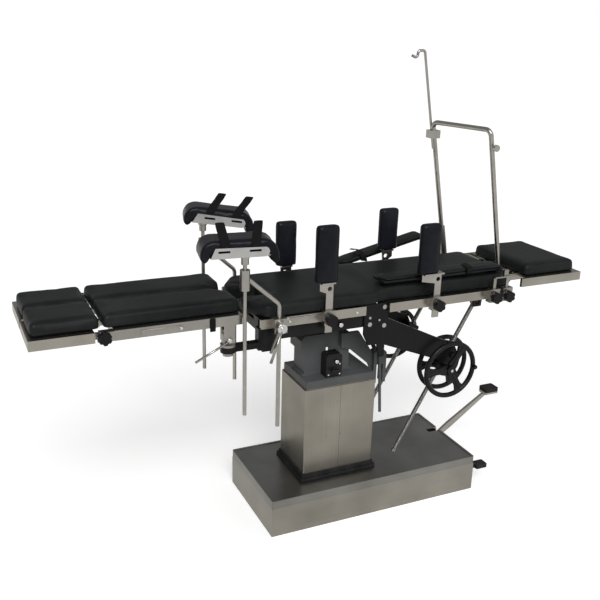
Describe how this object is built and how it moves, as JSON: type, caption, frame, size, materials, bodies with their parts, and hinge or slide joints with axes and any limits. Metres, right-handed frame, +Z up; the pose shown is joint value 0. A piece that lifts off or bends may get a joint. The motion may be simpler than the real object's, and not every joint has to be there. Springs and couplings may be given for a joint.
{
  "type": "operating table",
  "caption": "Mechanical operating table: box base, telescopic column, tilting top in hinged padded sections, handwheel screws for the back, leg rests, armboards and screen frame.",
  "frame": {"origin": "centre of the base's footprint on the floor", "axes": "+X towards the head end, +Y away from the pictured side, +Z up"},
  "size_m": [2.034, 0.563, 1.637],
  "materials": {
    "stainless": "brushed",
    "casting": "cast",
    "steel": "satin",
    "chrome": "polished",
    "black_enamel": "semi-gloss",
    "grey_enamel": "semi-gloss",
    "dark_enamel": "semi-gloss",
    "upholstery": "leathercloth over foam",
    "rubber": "matte"
  },
  "bodies": {
    "base": {"base_casting": "casting", "base_side_panels": "stainless", "base_lid": "stainless", "column_covers": "stainless", "column_skirt": "rubber", "lift_cylinder": "steel"},
    "pump_pedal": {"pump_lever": "steel", "pump_pad": "rubber"},
    "release": {"release_pedal": "black_enamel"},
    "lift": {"lift_ram": "chrome", "inner_sleeve": "steel", "cap_plate": "grey_enamel", "tilt_pillars": "grey_enamel", "tilt_gearbox": "dark_enamel", "tilt_arm": "grey_enamel"},
    "cradle": {"tilt_cradle": "grey_enamel"},
    "seat": {"seat_frame": "black_enamel", "seat_rails": "steel", "seat_cushion": "upholstery", "control_arms": "black_enamel", "seat_clamps": "black_enamel"},
    "back": {"back_frame": "black_enamel", "back_rails": "steel", "back_cushion": "upholstery", "back_clamps": "black_enamel"},
    "head": {"head_frame": "black_enamel", "head_cushion": "upholstery"},
    "inner_wheel": {"inner_handwheel": "black_enamel"},
    "screen": {"screen_frame": "steel"},
    "iv": {"iv_rod": "steel"},
    "near_drive": {"near_gearbox": "dark_enamel"},
    "near_screw": {"near_lift_screw": "steel"},
    "near_wheel": {"near_handwheel": "black_enamel"},
    "near_swivel": {"near_leg_swivel": "dark_enamel"},
    "near_leg": {"near_leg_frame": "steel", "near_leg_cushion": "upholstery"},
    "near_foot": {"near_foot_frame": "steel", "near_foot_cushion": "upholstery"},
    "near_holder": {"near_leg_holder": "steel"},
    "near_rest": {"near_leg_rest": "upholstery"},
    "near_board": {"near_armboard": "upholstery"},
    "far_drive": {"far_gearbox": "dark_enamel"},
    "far_screw": {"far_lift_screw": "steel"},
    "far_wheel": {"far_handwheel": "black_enamel"},
    "far_swivel": {"far_leg_swivel": "dark_enamel"},
    "far_leg": {"far_leg_frame": "steel", "far_leg_cushion": "upholstery"},
    "far_foot": {"far_foot_frame": "steel", "far_foot_cushion": "upholstery"},
    "far_holder": {"far_leg_holder": "steel"},
    "far_rest": {"far_leg_rest": "upholstery"},
    "far_board": {"far_armboard": "upholstery"},
    "near_seat_support": {"near_seat_support_post": "steel", "near_seat_support_pad": "upholstery"},
    "far_seat_support": {"far_seat_support_post": "steel", "far_seat_support_pad": "upholstery"},
    "near_back_support": {"near_back_support_post": "steel", "near_back_support_pad": "upholstery"},
    "far_back_support": {"far_back_support_post": "steel", "far_back_support_pad": "upholstery"}
  },
  "joints": [
    {"name": "pump_press", "type": "hinge", "parent": "base", "child": "pump_pedal", "pos_m": [0.4, 0.05, 0.1], "axis": [0, 1, 0], "range_deg": [0, 18], "stiffness_Nm_per_rad": 15, "springref_deg": -20.05},
    {"name": "release_press", "type": "hinge", "parent": "base", "child": "release", "pos_m": [0.396, -0.172, 0.078], "axis": [0, 1, 0], "range_deg": [0, 10], "stiffness_Nm_per_rad": 5, "springref_deg": -17.19},
    {"name": "lift_slide", "type": "slide", "parent": "base", "child": "lift", "axis": [0, 0, 1], "range_m": [0, 0.25]},
    {"name": "lateral_tilt", "type": "hinge", "parent": "lift", "child": "cradle", "pos_m": [-0.133, 0, 0.65], "axis": [1, 0, 0], "range_deg": [-15, 15]},
    {"name": "trendelenburg", "type": "hinge", "parent": "cradle", "child": "seat", "pos_m": [-0.133, 0, 0.712], "axis": [0, 1, 0], "range_deg": [-20, 20]},
    {"name": "back_raise", "type": "hinge", "parent": "seat", "child": "back", "pos_m": [-0.005, 0, 0.8], "axis": [0, -1, 0], "range_deg": [-10, 40]},
    {"name": "head_raise", "type": "hinge", "parent": "back", "child": "head", "pos_m": [0.585, 0, 0.827], "axis": [0, -1, 0], "range_deg": [-40, 30]},
    {"name": "near_leg_swing", "type": "hinge", "parent": "seat", "child": "near_swivel", "pos_m": [-0.575, -0.168, 0.736], "axis": [0, 0, 1], "range_deg": [0, 70]},
    {"name": "near_leg_drop", "type": "hinge", "parent": "near_swivel", "child": "near_leg", "pos_m": [-0.575, -0.168, 0.77], "axis": [0, -1, 0], "range_deg": [0, 90]},
    {"name": "near_foot_drop", "type": "hinge", "parent": "near_leg", "child": "near_foot", "pos_m": [-0.968, -0.1, 0.827], "axis": [0, -1, 0], "range_deg": [0, 45]},
    {"name": "near_holder_slide", "type": "slide", "parent": "seat", "child": "near_holder", "axis": [0, 0, 1], "range_m": [0, 0.1]},
    {"name": "near_rest_turn", "type": "hinge", "parent": "near_holder", "child": "near_rest", "pos_m": [-0.532, -0.205, 0.96], "axis": [0, 0, 1], "range_deg": [-45, 45]},
    {"name": "near_drive_swing", "type": "hinge", "parent": "seat", "child": "near_drive", "pos_m": [0.303, -0.13, 0.571], "axis": [0, -1, 0], "range_deg": [-6.7, 25.28]},
    {"name": "near_screw_slide", "type": "slide", "parent": "near_drive", "child": "near_screw", "axis": [0.4848, 0, 0.8746], "range_m": [-0.0652, 0.2519]},
    {"name": "near_wheel_turn", "type": "hinge", "parent": "near_drive", "child": "near_wheel", "pos_m": [0.273, -0.2, 0.531], "axis": [0, 1, 0], "continuous": true},
    {"name": "far_leg_swing", "type": "hinge", "parent": "seat", "child": "far_swivel", "pos_m": [-0.575, 0.168, 0.736], "axis": [0, 0, -1], "range_deg": [0, 70]},
    {"name": "far_leg_drop", "type": "hinge", "parent": "far_swivel", "child": "far_leg", "pos_m": [-0.575, 0.168, 0.77], "axis": [0, -1, 0], "range_deg": [0, 90]},
    {"name": "far_foot_drop", "type": "hinge", "parent": "far_leg", "child": "far_foot", "pos_m": [-0.968, 0.1, 0.827], "axis": [0, -1, 0], "range_deg": [0, 45]},
    {"name": "far_holder_slide", "type": "slide", "parent": "seat", "child": "far_holder", "axis": [0, 0, 1], "range_m": [0, 0.1]},
    {"name": "far_rest_turn", "type": "hinge", "parent": "far_holder", "child": "far_rest", "pos_m": [-0.532, 0.205, 0.96], "axis": [0, 0, 1], "range_deg": [-45, 45]},
    {"name": "far_drive_swing", "type": "hinge", "parent": "seat", "child": "far_drive", "pos_m": [0.303, 0.13, 0.571], "axis": [0, -1, 0], "range_deg": [-6.7, 25.28]},
    {"name": "far_screw_slide", "type": "slide", "parent": "far_drive", "child": "far_screw", "axis": [0.4848, 0, 0.8746], "range_m": [-0.0652, 0.2519]},
    {"name": "far_wheel_turn", "type": "hinge", "parent": "far_drive", "child": "far_wheel", "pos_m": [0.273, 0.2, 0.531], "axis": [0, 1, 0], "continuous": true},
    {"name": "inner_wheel_turn", "type": "hinge", "parent": "near_drive", "child": "inner_wheel", "pos_m": [0.31, -0.096, 0.515], "axis": [0, 1, 0], "continuous": true},
    {"name": "near_seat_support_slide", "type": "slide", "parent": "seat", "child": "near_seat_support", "axis": [0, 0, 1], "range_m": [0, 0.07]},
    {"name": "far_seat_support_slide", "type": "slide", "parent": "seat", "child": "far_seat_support", "axis": [0, 0, 1], "range_m": [0, 0.07]},
    {"name": "near_back_support_slide", "type": "slide", "parent": "back", "child": "near_back_support", "axis": [0, 0, 1], "range_m": [0, 0.07]},
    {"name": "far_back_support_slide", "type": "slide", "parent": "back", "child": "far_back_support", "axis": [0, 0, 1], "range_m": [0, 0.07]},
    {"name": "near_board_tip", "type": "hinge", "parent": "back", "child": "near_board", "pos_m": [0.484, -0.133, 0.8805], "axis": [0, 1, 0], "range_deg": [0, 40]},
    {"name": "far_board_tip", "type": "hinge", "parent": "back", "child": "far_board", "pos_m": [0.404, 0.27, 0.907], "axis": [0, 1, 0], "range_deg": [0, 25]},
    {"name": "screen_slide", "type": "slide", "parent": "back", "child": "screen", "axis": [-0.1857, 0, 0.9826], "range_m": [0, 0.08]},
    {"name": "iv_slide", "type": "slide", "parent": "screen", "child": "iv", "axis": [-0.1857, 0, 0.9826], "range_m": [-0.12, 0.03]}
  ],
  "couplings": [
    {"joint": "near_drive_swing", "follows": "back_raise", "ratio": 0.6196},
    {"joint": "near_screw_slide", "follows": "back_raise", "m_per_rad": 0.3565},
    {"joint": "far_drive_swing", "follows": "back_raise", "ratio": 0.6196},
    {"joint": "far_screw_slide", "follows": "back_raise", "m_per_rad": 0.3565}
  ]
}
